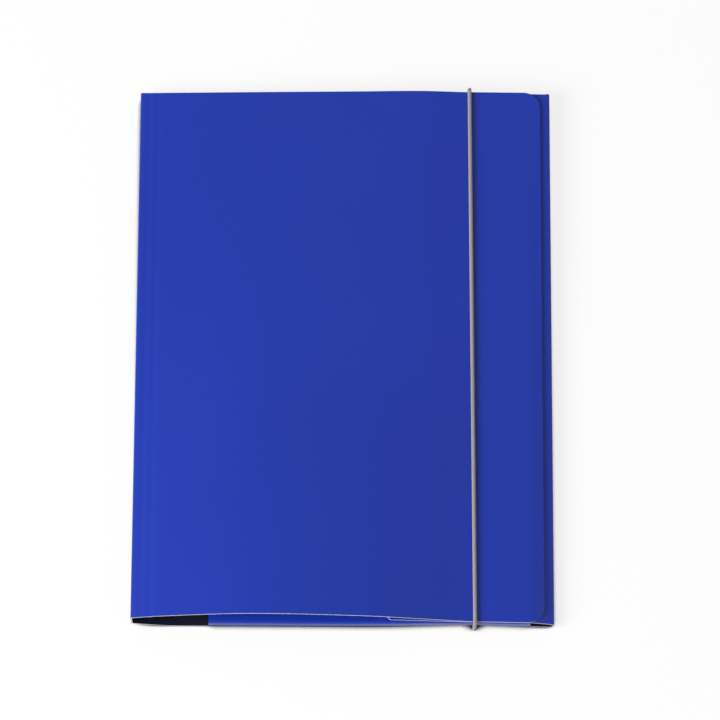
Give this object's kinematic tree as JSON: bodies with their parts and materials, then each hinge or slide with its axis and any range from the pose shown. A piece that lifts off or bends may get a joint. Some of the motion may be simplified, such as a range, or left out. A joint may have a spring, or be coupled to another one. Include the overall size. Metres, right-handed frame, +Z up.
{
  "type": "three flap folder",
  "caption": "Board document folder with inner flaps and a hinged front cover, held shut by a round elastic cord.",
  "frame": {"origin": "On the table, under the middle of the closed folder.", "axes": "+Z is up from the table to the front cover, +Y runs from the tail to the head, and +X from the spine to the fold of the side flap."},
  "size_m": [0.25, 0.3406, 0.0295],
  "materials": {
    "board": "glossy laminated",
    "elastic": "braided",
    "metal": "satin"
  },
  "bodies": {
    "folder_back": {"back_with_flaps": "board", "elastic_cord": "elastic", "tail_eyelet": "metal", "tail_cord_clip": "metal", "head_eyelet": "metal", "head_cord_clip": "metal"},
    "front_cover": {"front_cover": "board"}
  },
  "joints": [
    {"name": "cover_fold", "type": "hinge", "parent": "folder_back", "child": "front_cover", "pos_m": [-0.1245, 0, 0.013], "axis": [0, -0.9996, 0.0269], "range_deg": [0, 175]}
  ]
}
